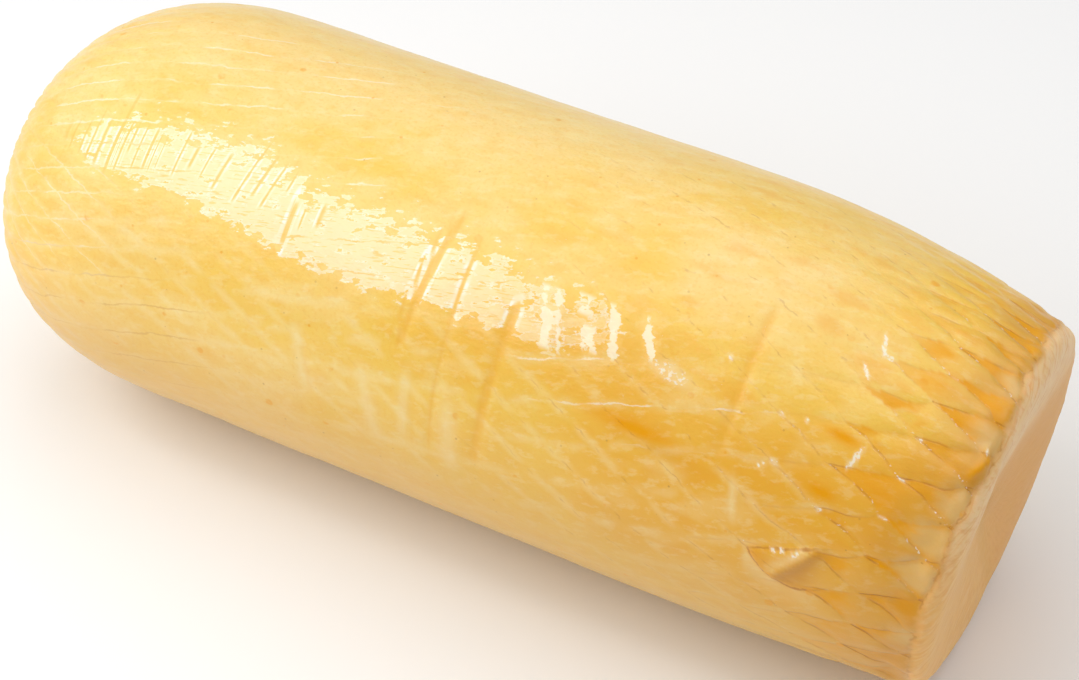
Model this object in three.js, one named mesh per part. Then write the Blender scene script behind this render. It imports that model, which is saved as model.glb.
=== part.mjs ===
// Smoked scamorza log: one solid piece of stretched-curd cheese that hung in a string net to be smoked.
// The closed end of the net left the dome at -X, and its drawn mouth gathered the skin at +X.
// Millimetres, +Z up. The log lies along X on the strip where it has settled, origin under its middle.
import * as THREE from 'three';
import { mergeVertices } from 'three/addons/utils/BufferGeometryUtils.js';

const { degToRad, smoothstep, lerp, euclideanModulo } = THREE.MathUtils;

// The log
const LENGTH = 301; // along the axis, from the pole of the dome to the mouth
const RADIUS = 60;
const SETTLED = 2; // height lost under the log, where it lies flat

// Dome end: blunt, with curve handles as shares of its radius and length
const DOME_LENGTH = 62;
const DOME_POLE_HANDLE = 0.63;
const DOME_SIDE_HANDLE = 0.75;
const DOME_LEAN = { y: -3.8, z: -1.2, reach: 82 }; // how far the end sits off the axis, and from where
const DOME_SKEW = { y: 0.095, z: -0.023 }; // slope of the end across the log

// Gathered end: a long shoulder, a rounded rim and a dished face
const SHOULDER_LENGTH = 97;
const MOUTH_RADIUS = 53.5;
const RIM_FILLET = 8;
const FACE_RADIUS = 45.4;
const DISH_DEPTH = 4;
const DISH_HANDLE = 0.35;
const MOUTH_LEAN = { y: -4, z: -3.5, reach: 85 };
const MOUTH_SKEW = { y: 0.022, z: 0.057 };

// Net: strings of each family around the log. On the dome they crowd towards the upper front, at the mouth
// towards the top, and the whole net is wound a little round the log.
const STRINGS = 36;
const DOME_CROWD = 0.35;
const DOME_WIDEST = degToRad(210); // from the top of the log, turning to the front
const MOUTH_CROWD = 0.21;
const MOUTH_WIDEST = degToRad(68); // and again opposite
const CROWD_FROM = 90; // along the skin from the pole of the dome
const CROWD_TO = 290;
const TWIST_PER_MM = degToRad(0.063);
const TWIST_ZERO = 169; // along the skin, where the net is not turned

// Half a cell of the net along the skin, between two rows of knots: it grows evenly towards the mouth
const DOME_HALF_CELL = 10.3;
const MOUTH_HALF_CELL = 15.5;
const CELL_FROM = 60;
const CELL_TO = 320;
const FIRST_ROW = -0.25; // row of the net at CELL_FROM
const CELL_GROWTH = (MOUTH_HALF_CELL - DOME_HALF_CELL) / (CELL_TO - CELL_FROM);

// Depth of the marks that the strings pressed into the skin
const DOME_MARK = 0.2;
const DOME_MARK_END = 105; // along the skin from the pole of the dome
const MIDDLE_MARK = 0.06;
const GATHER_MARK = 1.1;
const GATHER_START = 262;
const GATHER_SHARPNESS = 1.5;
const PLEAT_DEPTH = 0.35;

// Rings of vertices: four to a cell around, one to each row of knots, two in the gather
const AROUND_CELL = 4;
const FINE_STEP = 0.5;
const RIM_RINGS = 3;
const FACE_RINGS = 5;
const WELD = 1e-4;

const CHEESE_COLOUR = 0xe6b65c;
const CHEESE_ROUGHNESS = 0.38;

const domePole = -LENGTH / 2;
const mouth = LENGTH / 2;
const axisHeight = RADIUS - SETTLED;

// Half outline of the log, radius against distance along the axis
const outline = new THREE.Path();
outline.moveTo(0, domePole);
outline.bezierCurveTo(
  RADIUS * DOME_POLE_HANDLE, domePole,
  RADIUS, domePole + DOME_LENGTH * (1 - DOME_SIDE_HANDLE),
  RADIUS, domePole + DOME_LENGTH
);
outline.lineTo(RADIUS, mouth - SHOULDER_LENGTH);
outline.quadraticCurveTo(
  RADIUS, mouth - (SHOULDER_LENGTH + RIM_FILLET) / 2,
  MOUTH_RADIUS, mouth - RIM_FILLET
);
const rimStart = outline.getLength();
outline.quadraticCurveTo(MOUTH_RADIUS, mouth, FACE_RADIUS, mouth);
const faceStart = outline.getLength();
outline.bezierCurveTo(
  FACE_RADIUS * (1 - DISH_HANDLE), mouth,
  FACE_RADIUS * DISH_HANDLE, mouth - DISH_DEPTH,
  0, mouth - DISH_DEPTH
);
const skinLength = outline.getLength();

// Row of the net at a distance along the skin, and the way back
function rowAt(along) {
  const growth = 1 + CELL_GROWTH * (along - CELL_FROM) / DOME_HALF_CELL;
  return FIRST_ROW + Math.log(growth) / CELL_GROWTH;
}
function alongAt(row) {
  return CELL_FROM + DOME_HALF_CELL * (Math.exp(CELL_GROWTH * (row - FIRST_ROW)) - 1) / CELL_GROWTH;
}

// Rings from the pole of the dome to the middle of the face, each with its place in the net
function ringStations() {
  let row = Math.floor(rowAt(0));
  const rings = [{ along: 0, row }];
  row += 1;
  while (alongAt(row) < rimStart) {
    rings.push({ along: alongAt(row), row });
    row += alongAt(row) < GATHER_START ? 1 : FINE_STEP;
  }
  for (let k = 0; k <= RIM_RINGS; k += 1) {
    rings.push({ along: lerp(rimStart, faceStart, k / RIM_RINGS), row });
    row += FINE_STEP;
  }
  for (let k = 1; k <= FACE_RINGS; k += 1) {
    rings.push({ along: lerp(faceStart, skinLength, k / FACE_RINGS), row });
    row += FINE_STEP;
  }
  return rings;
}

// Depth of the net's marks at a point: valleys under the strings, pillows between them
function netDepth(around, row, along) {
  const first = Math.abs(euclideanModulo(around + row / 2 + 0.5, 1) - 0.5);
  const second = Math.abs(euclideanModulo(around - row / 2 + 0.5, 1) - 0.5);
  const nearness = 1 - 2 * Math.min(first, second);
  const gather = smoothstep(along, GATHER_START, rimStart) ** GATHER_SHARPNESS;
  const dome = 1 - smoothstep(along, 0, DOME_MARK_END);
  const pole = Math.min(along / DOME_HALF_CELL, 1);
  const overRim = 1 - smoothstep(along, rimStart, faceStart);
  const mark = MIDDLE_MARK + DOME_MARK * dome + GATHER_MARK * gather;
  return mark * pole * overRim * nearness ** (1 + gather);
}

// Depth of the pleats that run in over the rim and fade towards the middle of the face
function pleatDepth(around, along) {
  const outward = smoothstep(along, rimStart, faceStart) * (1 - smoothstep(along, faceStart, skinLength));
  return PLEAT_DEPTH * outward * (0.5 - 0.5 * Math.cos(2 * Math.PI * around));
}

// Angle from the top of the log to a point of the net
function netAngle(even, along) {
  const towardsMouth = smoothstep(along, CROWD_FROM, CROWD_TO);
  const dome = DOME_CROWD * (1 - towardsMouth) * Math.sin(even - DOME_WIDEST);
  const gather = (MOUTH_CROWD / 2) * towardsMouth * Math.sin(2 * (even - MOUTH_WIDEST));
  return even + dome + gather + TWIST_PER_MM * (along - TWIST_ZERO);
}

// Lathe along the outline, turned to lie along X
const rings = ringStations();
const segments = STRINGS * AROUND_CELL;
const shares = rings.map((ring) => Math.min(ring.along / skinLength, 1));
const profile = shares.map((share) => outline.getPoint(share));
const slopes = shares.map((share) => outline.getTangent(share));
const skin = new THREE.LatheGeometry(profile, segments);
skin.rotateZ(-Math.PI / 2);

// Each vertex takes the net's spacing and marks, the lean of its section and the settled underside
const position = skin.attributes.position;
for (let i = 0; i <= segments; i += 1) {
  const around = (i % segments) / AROUND_CELL;
  const even = (around / STRINGS) * 2 * Math.PI;
  for (let j = 0; j < rings.length; j += 1) {
    const { along, row } = rings[j];
    const angle = netAngle(even, along);
    const depth = netDepth(around, row, along) + pleatDepth(around, along);
    const radius = Math.max(profile[j].x - depth * slopes[j].y, 0);
    const station = profile[j].y + depth * slopes[j].x;
    const domeShare = Math.max(1 - (station - domePole) / DOME_LEAN.reach, 0) ** 2;
    const mouthShare = Math.max(1 - (mouth - station) / MOUTH_LEAN.reach, 0) ** 2;
    const side = -radius * Math.sin(angle);
    const rise = radius * Math.cos(angle);
    const domeSkew = DOME_SKEW.y * side + DOME_SKEW.z * rise;
    const mouthSkew = MOUTH_SKEW.y * side + MOUTH_SKEW.z * rise;
    const x = station + domeSkew * domeShare + mouthSkew * mouthShare;
    const y = side + DOME_LEAN.y * domeShare + MOUTH_LEAN.y * mouthShare;
    const z = rise + DOME_LEAN.z * domeShare + MOUTH_LEAN.z * mouthShare;
    position.setXYZ(i * rings.length + j, x, y, Math.max(z + axisHeight, 0));
  }
}

// Triangles: the diagonal of every second quad is turned, so that edges run along both families of
// strings, and the quads that close on a pole keep the one triangle that has an area
const lastRow = rings.length - 2;
const faces = [];
for (let i = 0; i < segments; i += 1) {
  for (let j = 0; j <= lastRow; j += 1) {
    const a = i * rings.length + j;
    const b = a + rings.length;
    const c = b + 1;
    const d = a + 1;
    const turned = euclideanModulo(i + rings[j].row / FINE_STEP, 2) === 0;
    if (j === 0) {
      faces.push(a, c, d);
    } else if (j === lastRow) {
      faces.push(a, b, d);
    } else if (turned) {
      faces.push(a, b, c, a, c, d);
    } else {
      faces.push(a, b, d, b, c, d);
    }
  }
}
skin.setIndex(faces);
skin.deleteAttribute('normal');
skin.deleteAttribute('uv');
const solid = mergeVertices(skin, WELD);
solid.computeBoundingBox();
const middle = solid.boundingBox.getCenter(new THREE.Vector3());
solid.translate(-middle.x, -middle.y, 0);
solid.computeVertexNormals();

const cheese = new THREE.MeshStandardMaterial({
  color: CHEESE_COLOUR,
  roughness: CHEESE_ROUGHNESS,
  metalness: 0
});
cheese.name = 'smoked_cheese';

const log = new THREE.Mesh(solid, cheese);
log.name = 'scamorza_log';

const part = new THREE.Group();
part.name = 'smoked_scamorza';
part.add(log);

export default part;
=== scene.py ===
import math

import bmesh
import bpy
import numpy as np
from mathutils import Matrix, Vector, noise


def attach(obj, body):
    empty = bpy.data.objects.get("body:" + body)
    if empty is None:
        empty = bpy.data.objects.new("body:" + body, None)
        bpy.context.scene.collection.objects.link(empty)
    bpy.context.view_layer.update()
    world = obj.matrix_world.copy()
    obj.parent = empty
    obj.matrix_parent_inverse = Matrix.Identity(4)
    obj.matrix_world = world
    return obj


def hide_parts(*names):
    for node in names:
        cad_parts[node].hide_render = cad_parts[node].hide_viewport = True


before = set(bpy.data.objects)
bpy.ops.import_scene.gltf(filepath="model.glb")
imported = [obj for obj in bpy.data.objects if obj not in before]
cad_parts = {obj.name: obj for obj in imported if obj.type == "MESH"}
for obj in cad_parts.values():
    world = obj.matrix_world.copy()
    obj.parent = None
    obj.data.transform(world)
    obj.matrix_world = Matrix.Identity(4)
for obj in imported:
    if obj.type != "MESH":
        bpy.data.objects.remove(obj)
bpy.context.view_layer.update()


# The cheese: one log of stretched curd, pressed into a string net while warm and hung up in it to be smoked.
# The closed end of the net rounded the dome on the left, and its drawn mouth gathered the other end into a
# dished face. The skin keeps the net's diamonds: puffed scales at the mouth, faint threads along the rest.

MM = 0.001

# Sizes, in millimetres
LENGTH = 301.0
RADIUS = 60.0
SETTLED = 2.0
DOME_LENGTH = 62.0
DOME_POLE_HANDLE = 0.63
DOME_SIDE_HANDLE = 0.75
DOME_LEAN = (-3.8, -1.2)
DOME_SKEW = (0.095, -0.023)
DOME_REACH = 82.0
SHOULDER_LENGTH = 97.0
MOUTH_RADIUS = 53.5
RIM_FILLET = 8.0
FACE_RADIUS = 45.4
DISH_DEPTH = 4.0
DISH_HANDLE = 0.35
MOUTH_LEAN = (-4.0, -3.5)
MOUTH_SKEW = (0.022, 0.057)
MOUTH_REACH = 85.0
AXIS_HEIGHT = RADIUS - SETTLED


def smooth(value, low, high):
    """0 up to low, 1 from high on, eased between."""
    share = np.clip((np.asarray(value, float) - low) / (high - low), 0, 1)
    return share * share * (3 - 2 * share)


def bend(points, count=240):
    """A curve drawn by its handles, as points of (along the axis, radius)."""
    step = np.linspace(0, 1, count)[:, None]
    layer = [np.array(p, float) + 0 * step for p in points]
    while len(layer) > 1:
        layer = [a + (b - a) * step for a, b in zip(layer, layer[1:])]
    return layer[0]


# Half outline, from the pole of the dome over the mouth's rim to the middle of the dished face
pole, mouth = -LENGTH / 2, LENGTH / 2
dome_curve = bend([
    (pole, 0),
    (pole, RADIUS * DOME_POLE_HANDLE),
    (pole + DOME_LENGTH * (1 - DOME_SIDE_HANDLE), RADIUS),
    (pole + DOME_LENGTH, RADIUS),
])
body_line = bend([(pole + DOME_LENGTH, RADIUS), (mouth - SHOULDER_LENGTH, RADIUS)])
shoulder_curve = bend([
    (mouth - SHOULDER_LENGTH, RADIUS),
    (mouth - (SHOULDER_LENGTH + RIM_FILLET) / 2, RADIUS),
    (mouth - RIM_FILLET, MOUTH_RADIUS),
])
rim_curve = bend([(mouth - RIM_FILLET, MOUTH_RADIUS), (mouth, MOUTH_RADIUS), (mouth, FACE_RADIUS)])
face_curve = bend([
    (mouth, FACE_RADIUS),
    (mouth, FACE_RADIUS * (1 - DISH_HANDLE)),
    (mouth - DISH_DEPTH, FACE_RADIUS * DISH_HANDLE),
    (mouth - DISH_DEPTH, 0),
])
outline = dome_curve
lengths = []
for curve in (body_line, shoulder_curve, rim_curve, face_curve):
    lengths.append(np.hypot(*np.diff(outline, axis=0).T).sum())
    outline = np.concatenate([outline, curve[1:]])
run = np.concatenate([[0], np.cumsum(np.hypot(*np.diff(outline, axis=0).T))])
rim_start, face_start, skin_length = lengths[2], lengths[3], run[-1]
slope = np.gradient(outline, run, axis=0)

# Rings close together where the skin is gathered or creased, and wide apart at the hidden pole
SEGMENTS = 300
MERGED_WITHIN = 1e-7
ring_places = [0, 50, 62, 150, 165, 262, 280, face_start + 6, face_start + 16, skin_length]
ring_gaps = [2.8, 2.2, 1.05, 1.1, 1.3, 1.2, 0.85, 0.85, 1.8, 2.8]
ring_gap = np.interp(run, ring_places, ring_gaps)
density = np.concatenate([[0], np.cumsum(np.diff(run) / ring_gap[1:])])
RINGS = int(density[-1])
stations = np.interp(np.linspace(0, density[-1], RINGS), density, run)

# One edge is cut into the outline, and the outline is turned round the log's axis
log = bmesh.new()
ends = [log.verts.new((0, 0, 0)), log.verts.new((1, 0, 0))]
edge = log.edges.new(ends)
bmesh.ops.subdivide_edges(log, edges=[edge], cuts=RINGS - 2)
along_layer = log.verts.layers.float.new("along")
for vert in log.verts:
    station = stations[round(vert.co.x * (RINGS - 1))]
    vert[along_layer] = station
    x = np.interp(station, run, outline[:, 0])
    radius = np.interp(station, run, outline[:, 1])
    vert.co = (x * MM, 0, (AXIS_HEIGHT + radius) * MM)
bmesh.ops.spin(
    log,
    geom=log.verts[:] + log.edges[:],
    cent=(0, 0, AXIS_HEIGHT * MM),
    axis=(1, 0, 0),
    angle=2 * math.pi,
    steps=SEGMENTS,
    use_merge=True,
)
bmesh.ops.remove_doubles(log, verts=log.verts[:], dist=MERGED_WITHIN)
bmesh.ops.recalc_face_normals(log, faces=log.faces[:])
cheese_mesh = bpy.data.meshes.new("scamorza_log_skin")
log.to_mesh(cheese_mesh)
log.free()

# Each point's distance along the skin from the pole, and its angle from the top towards the front.
# The segments crowd together on the upper front, where the skin is read most closely.
CROWDING = 0.35
CROWDED_AT = math.radians(42)
count = len(cheese_mesh.vertices)
plain = np.zeros(count * 3, np.float32)
cheese_mesh.vertices.foreach_get("co", plain)
plain = plain.reshape(-1, 3).astype(float) / MM
along = np.zeros(count, np.float32)
cheese_mesh.attributes["along"].data.foreach_get("value", along)
along = along.astype(float)
spun = np.arctan2(-plain[:, 1], plain[:, 2] - AXIS_HEIGHT)
angle = spun - CROWDING * np.sin(spun - CROWDED_AT) - CROWDING * math.sin(CROWDED_AT)
degrees = np.degrees(angle)
skin_x = np.interp(along, run, outline[:, 0])
skin_radius = np.interp(along, run, outline[:, 1])
plain = np.stack([skin_x, -skin_radius * np.sin(angle), skin_radius * np.cos(angle)], axis=1)

# The net: two families of strings that cross. On the dome they crowd towards the upper front, at the mouth
# towards the top, and the whole net is wound a little round the log.
STRINGS = 36
CROWD_FROM, CROWD_TO = 90.0, 290.0
DOME_CROWD = 0.35
DOME_WIDEST = math.radians(210)
MOUTH_CROWD = 0.21
MOUTH_WIDEST = math.radians(68)
TWIST_PER_MM = math.radians(0.063)
TWIST_ZERO = 169.0
DOME_HALF_CELL = 10.3
MOUTH_HALF_CELL = 15.5
CELL_FROM, CELL_TO = 60.0, 320.0
FIRST_ROW = -0.25
DRAWN = 0.23
DRAWN_AT = math.radians(-30)
DRAWN_POWER = 4
DRAWN_FROM, DRAWN_TO = 240.0, 300.0
SETTLING_PASSES = 20

towards_mouth = smooth(along, CROWD_FROM, CROWD_TO)
crowd_dome = DOME_CROWD * (1 - towards_mouth)
crowd_mouth = MOUTH_CROWD * towards_mouth
wound = angle - TWIST_PER_MM * (along - TWIST_ZERO)
turn = wound.copy()
for settling in range(SETTLING_PASSES):
    pulled_at_dome = crowd_dome * np.sin(turn - DOME_WIDEST)
    pulled_at_mouth = crowd_mouth / 2 * np.sin(2 * (turn - MOUTH_WIDEST))
    turn = wound - pulled_at_dome - pulled_at_mouth
cell_growth = (MOUTH_HALF_CELL - DOME_HALF_CELL) / (CELL_TO - CELL_FROM)
half_cell = DOME_HALF_CELL + cell_growth * (along - CELL_FROM)
row = FIRST_ROW + np.log(half_cell / DOME_HALF_CELL) / cell_growth
drawn_share = ((1 + np.cos(angle - DRAWN_AT)) / 2) ** DRAWN_POWER
row -= DRAWN * drawn_share * smooth(along, DRAWN_FROM, DRAWN_TO)
around = STRINGS * turn / (2 * math.pi)
string_gap_mm = RADIUS * 2 * math.pi / STRINGS * (
    1 + crowd_dome * np.cos(turn - DOME_WIDEST) + crowd_mouth * np.cos(2 * (turn - MOUTH_WIDEST))
)


def lumps(size, seed):
    """Soft unevenness about one size across, from -1 to 1."""
    shift = Vector((seed * 17.3, seed * 5.1, seed * 11.7))
    return np.array([noise.noise(Vector(p) / size + shift) for p in plain])


SWAY, SWAY_SIZE = 0.10, 20.0
WAVER, WAVER_SIZE = 0.07, 8.0
STRAY, STRAY_SIZE = 0.04, 3.0
STRAY_FROM, STRAY_TO = 250.0, 275.0
BOW = 0.09
BOW_FROM, BOW_TO = 270.0, 320.0


def straying(sway_seed, waver_seed, stray_seed):
    """How far a string lies off its even line, in gaps between strings."""
    fine = STRAY * smooth(along, STRAY_FROM, STRAY_TO) * lumps(STRAY_SIZE, stray_seed)
    return SWAY * lumps(SWAY_SIZE, sway_seed) + WAVER * lumps(WAVER_SIZE, waver_seed) + fine


rising = around + row / 2 + straying(1, 11, 18)
falling = around - row / 2 + straying(2, 12, 19)
bowed = BOW * smooth(along, BOW_FROM, BOW_TO)
rising, falling = (
    rising - bowed * np.abs(np.sin(math.pi * falling)),
    falling + bowed * np.abs(np.sin(math.pi * rising)),
)
rising_gap = np.abs((rising + 0.5) % 1 - 0.5)
falling_gap = np.abs((falling + 0.5) % 1 - 0.5)
nearest = np.minimum(rising_gap, falling_gap)
along_cell = (rising % 1 + 1 - falling % 1) / 2

# Scales at the mouth: each is a low pillow, tucked under its neighbours at the left and puffed up at the
# right. The rest of the skin has only shallow marks, deepest on the dome.
GATHER_FROM, GATHER_TO = 268.0, 330.0
PILLOW_DEPTH = 0.75
TUCK_DEPTH = 1.0
GROOVE_DEPTH = 0.3
GROOVE_WIDTH = 0.5
BODY_MARK_DEPTH = 0.05
DOME_MARK_DEPTH = 0.45
gather = smooth(along, GATHER_FROM, GATHER_TO)
over_rim = 1 - smooth(along, rim_start + 4, face_start)
at_pole = smooth(along, 4, 40)
puffed = gather ** 1.5 * (0.8 + 0.6 * lumps(14.0, 3))
apart = 1 - np.exp(-(nearest * string_gap_mm / GROOVE_WIDTH) ** 2)
pillow = PILLOW_DEPTH * puffed * (1 - 2 * nearest) ** 2
tuck = TUCK_DEPTH * puffed * (1 - along_cell) * apart
groove = GROOVE_DEPTH * gather * (1 - apart)
mark_depth = BODY_MARK_DEPTH + DOME_MARK_DEPTH * (1 - smooth(along, 45, 100))
marks = mark_depth * (1 - 2 * nearest) ** 3
scales = (pillow + tuck + groove + marks) * over_rim * at_pole

# The rim: a crooked, broken crease where the last scales turn in, and past it fine pleats that run slantwise
# over the edge of the face and die out before its middle
RIM_AT = 335.3
RIM_BULGE, RIM_BULGE_AT, RIM_BULGE_SPREAD = 4.6, 27.0, 17.0
RIM_CREASE_DEPTH = 0.35
RIM_CREASE_WIDTH = 1.1
FIBRE_LIE = math.radians(22)
PLEAT_PITCH = 2.8
PLEAT_DEPTH = 0.13
rim_bulge = RIM_BULGE * np.exp(-((degrees - RIM_BULGE_AT) / RIM_BULGE_SPREAD) ** 2)
rim_at = RIM_AT + rim_bulge + 2.2 * lumps(13.0, 4) + 0.5 * lumps(5.0, 13)
past_rim = along - rim_at
rim_broken = np.clip(0.2 + 2.0 * lumps(10.0, 8), 0, 1.5)
rim_crease = RIM_CREASE_DEPTH * np.exp(-(past_rim / RIM_CREASE_WIDTH) ** 2) * rim_broken
fibre_across = plain[:, 2] * math.cos(FIBRE_LIE) - plain[:, 1] * math.sin(FIBRE_LIE) + 2.5 * lumps(18.0, 5)
fibre_along = plain[:, 1] * math.cos(FIBRE_LIE) + plain[:, 2] * math.sin(FIBRE_LIE)
pleats = 0.5 + 0.5 * np.cos(fibre_across * 2 * math.pi / PLEAT_PITCH)
low_front = smooth(degrees, 45, 75) * (1 - smooth(degrees, 125, 160))
pleat_share = smooth(past_rim, -2, 4) * (1 - smooth(along, face_start + 6, face_start + 26))
pleat_share *= smooth(lumps(9.0, 20), -0.35, 0.3) * (1 - 0.8 * low_front)
pleat_depth = PLEAT_DEPTH * pleats * pleat_share

# Two lumps of curd squeezed out between the last scales, a knob and a finger: distance along the skin, angle,
# half length, half width and height in millimetres, and the lie of each from the log's length
squeezed = [
    (336.4, 29.2, 2.6, 1.3, 0.9, 45),
    (335.0, 34.2, 3.6, 1.2, 0.7, -62),
]
squeezed_out = np.zeros(count)
squeezed_rise = np.zeros(count)
for place, at, length, width, height, lie in squeezed:
    off_x = along - place
    off_y = MOUTH_RADIUS * np.radians(degrees - at)
    lengthwise = off_x * math.cos(math.radians(lie)) + off_y * math.sin(math.radians(lie))
    sideways = off_y * math.cos(math.radians(lie)) - off_x * math.sin(math.radians(lie))
    near = np.exp(-(lengthwise / length) ** 4 - (sideways / width) ** 2)
    squeezed_out = np.maximum(squeezed_out, near)
    squeezed_rise = np.maximum(squeezed_rise, height * near)

# One scale low on the front is folded into a tongue: a straight upper edge and a bowed lower one run from its
# left corner, and a ridge across it stands up and shades the skin towards the mouth
TONGUE_ALONG, TONGUE_ANGLE = 288.3, 78.7
TONGUE_LENGTH = 26.0
TONGUE_DROP = 7.0
TONGUE_SLOPE = -0.386
RIDGE_AT = (12.0, -1.0)
RIDGE_LIE = math.radians(42)
RIDGE_HEIGHT = 1.5
TONGUE_LIFT = 0.25
tongue_x = along - TONGUE_ALONG
tongue_y = MOUTH_RADIUS * np.radians(degrees - TONGUE_ANGLE)
half_tongue = TONGUE_LENGTH / 2
below_top = (tongue_y - TONGUE_SLOPE * tongue_x) * math.cos(math.atan(TONGUE_SLOPE))
bow_slope = 2 * TONGUE_DROP * (half_tongue - tongue_x) / half_tongue ** 2
above_foot = TONGUE_DROP * (1 - (tongue_x / half_tongue - 1) ** 2) - tongue_y
above_foot /= np.sqrt(1 + bow_slope ** 2)
tongue_held = smooth(tongue_x, -1.5, 0.5) * (1 - smooth(tongue_x, 14, 24)) * (np.abs(tongue_y) < 20)
in_tongue = tongue_held * smooth(np.minimum(below_top, above_foot), -0.4, 0.8)
past_ridge = (tongue_x - RIDGE_AT[0]) * math.cos(RIDGE_LIE) + (tongue_y - RIDGE_AT[1]) * math.sin(RIDGE_LIE)
stood_up = RIDGE_HEIGHT * in_tongue * smooth(past_ridge, -9, -0.4) * (1 - smooth(past_ridge, 0, 3.5))
stood_up += TONGUE_LIFT * in_tongue
# A painted highlight along the top of the ridge, and painted shadow on the skin past it
ridge_highlight = in_tongue * np.exp(-((past_ridge + 0.9) / 1.3) ** 2) * (1 - smooth(below_top, 3, 7))
ridge_shade = in_tongue * smooth(past_ridge, 0, 1.4) * (1 - smooth(past_ridge, 3, 11))

# A valley pressed down the face from the top to the lower front
VALLEY_LIE = math.radians(20)
VALLEY_SHIFT = 4.0
VALLEY_DEPTH = 0.6
VALLEY_WIDTH = 7.0
VALLEY_TINT_WIDTH = 3.5
valley_at = plain[:, 1] * math.cos(VALLEY_LIE) + plain[:, 2] * math.sin(VALLEY_LIE) + VALLEY_SHIFT
valley = VALLEY_DEPTH * np.exp(-(valley_at / VALLEY_WIDTH) ** 2)
valley *= smooth(along, face_start - 2, face_start + 10)

# Unevenness left by the hands that shaped it
BROAD_UNEVEN, BROAD_SIZE = 0.30, 45.0
CLOSE_UNEVEN, CLOSE_SIZE = 0.10, 11.0
SET_IN = 0.8
uneven = BROAD_UNEVEN * (lumps(BROAD_SIZE, 6) - SET_IN) + CLOSE_UNEVEN * (lumps(CLOSE_SIZE, 7) - SET_IN)
uneven *= at_pole

# Dents across the log where it was pressed: distance along the skin, from and to in degrees, width and depth
# in millimetres, and how far each leans per degree
dents = [
    (144.4, 33, 50, 0.9, 0.16, 0.05),
    (159.0, 68, 84, 1.6, 0.14, 0.26),
    (184.6, 24, 60, 0.8, 0.20, -0.14),
    (187.4, 23, 62, 1.2, 0.32, -0.14),
    (191.5, 70, 86, 1.4, 0.12, 0.05),
    (197.4, 27, 88, 1.1, 0.20, 0.0),
    (212.2, 40, 86, 1.6, 0.30, -0.06),
    (275.5, 18, 58, 1.6, 0.24, 0.0),
    (292.0, 14, 22, 1.3, 0.08, 0.0),
]


def held(low, high, fade):
    """1 between two angles, fading out beyond them."""
    return smooth(degrees, low - fade, low + fade) * (1 - smooth(degrees, high - fade, high + fade))


def across(place, start, end, width, lean):
    """A soft line across the log, 1 along its middle."""
    off = (along - place - lean * (degrees - (start + end) / 2)) / width
    return held(start, end, 4) * np.exp(-off ** 2)


dent_depth = np.zeros(count)
for place, start, end, width, depth, lean in dents:
    dent_depth = np.maximum(dent_depth, depth * across(place, start, end, width, lean))

# Pale smears beside them, laid out the same way but without depth
smears = [
    (157.0, 66, 83, 1.7, 0.27),
    (178.5, 70, 91, 2.2, 0.29),
    (189.2, 67, 87, 1.6, 0.03),
    (203.0, 70, 92, 2.6, 0.1),
    (282.0, 62, 72, 1.0, 0.2),
]
smear = np.zeros(count)
for place, start, end, width, lean in smears:
    smear = np.maximum(smear, across(place, start, end, width, lean))

# Low steps across the log, each facing the dome, as when soft curd is pushed along: distance along the skin,
# from and to in degrees, height in millimetres, and the half width of the highlight stroke painted along it
steps = [
    (204.0, 34, 48, 0.14, 0),
    (211.5, 31, 44, 0.16, 0),
    (220.5, 34, 48, 0.22, 1.3),
    (224.5, 34, 38, 0.10, 1.0),
    (231.0, 33, 37, 0.18, 0.7),
    (233.0, 40, 45, 0.18, 1.2),
    (239.5, 33, 45, 0.22, 1.0),
    (250.0, 33, 42, 0.24, 0.8),
]
STEP_LEAN = 0.42
STEP_MIDDLE = 38.0
UNTOUCHED = 4.0
wavering = lumps(6.0, 15)
thinning = np.clip(0.9 + 0.9 * lumps(4.0, 16), 0.35, 1.5)
step_rise = np.zeros(count)
stroke_off = np.full(count, UNTOUCHED)
stroke_held = np.zeros(count)
for place, start, end, height, width in steps:
    off = along - place - STEP_LEAN * (degrees - STEP_MIDDLE) + wavering
    step_held = held(start, end, 3)
    step_rise += height * step_held * smooth(off, -1.5, 1.5) * (1 - smooth(off, 1.8, 9.0))
    if width:
        stroke_off = np.minimum(stroke_off, np.abs(off) / width / thinning)
        stroke_held = np.maximum(stroke_held, step_held * (np.abs(off) < UNTOUCHED))

# The finished skin: the last scales are crumpled, each point is set in from the smooth outline, and the ends
# lean and are cut askew
FINE_CRUMPLE, FINE_SIZE = 0.45, 4.5
COARSE_CRUMPLE, COARSE_SIZE = 0.9, 9.0
MOST_RAISED = 1.4
crumple = FINE_CRUMPLE * (0.5 + lumps(FINE_SIZE, 14)) + COARSE_CRUMPLE * (0.5 + lumps(COARSE_SIZE, 21))
crumple *= smooth(along, 316, 332) * (1 - smooth(past_rim, 0, 12))
sunk = scales + crumple + rim_crease + pleat_depth + valley + dent_depth
raised = uneven + step_rise + stood_up + squeezed_rise
inset = np.maximum(sunk - raised, -MOST_RAISED * gather * over_rim)
x_run = np.interp(along, run, slope[:, 0])
r_run = np.interp(along, run, slope[:, 1])
x = skin_x + inset * r_run
radius = np.maximum(skin_radius - inset * x_run, 0)
side = -radius * np.sin(angle)
rise = radius * np.cos(angle)
dome_share = np.clip(1 - (x - pole) / DOME_REACH, 0, None) ** 2
mouth_share = np.clip(1 - (mouth - x) / MOUTH_REACH, 0, None) ** 2
finished = np.stack([
    x + (DOME_SKEW[0] * side + DOME_SKEW[1] * rise) * dome_share
    + (MOUTH_SKEW[0] * side + MOUTH_SKEW[1] * rise) * mouth_share,
    side + DOME_LEAN[0] * dome_share + MOUTH_LEAN[0] * mouth_share,
    np.maximum(rise + DOME_LEAN[1] * dome_share + MOUTH_LEAN[1] * mouth_share + AXIS_HEIGHT, 0),
], axis=1)
middle = (finished.min(axis=0) + finished.max(axis=0)) / 2
finished[:, :2] -= middle[:2]
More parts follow.
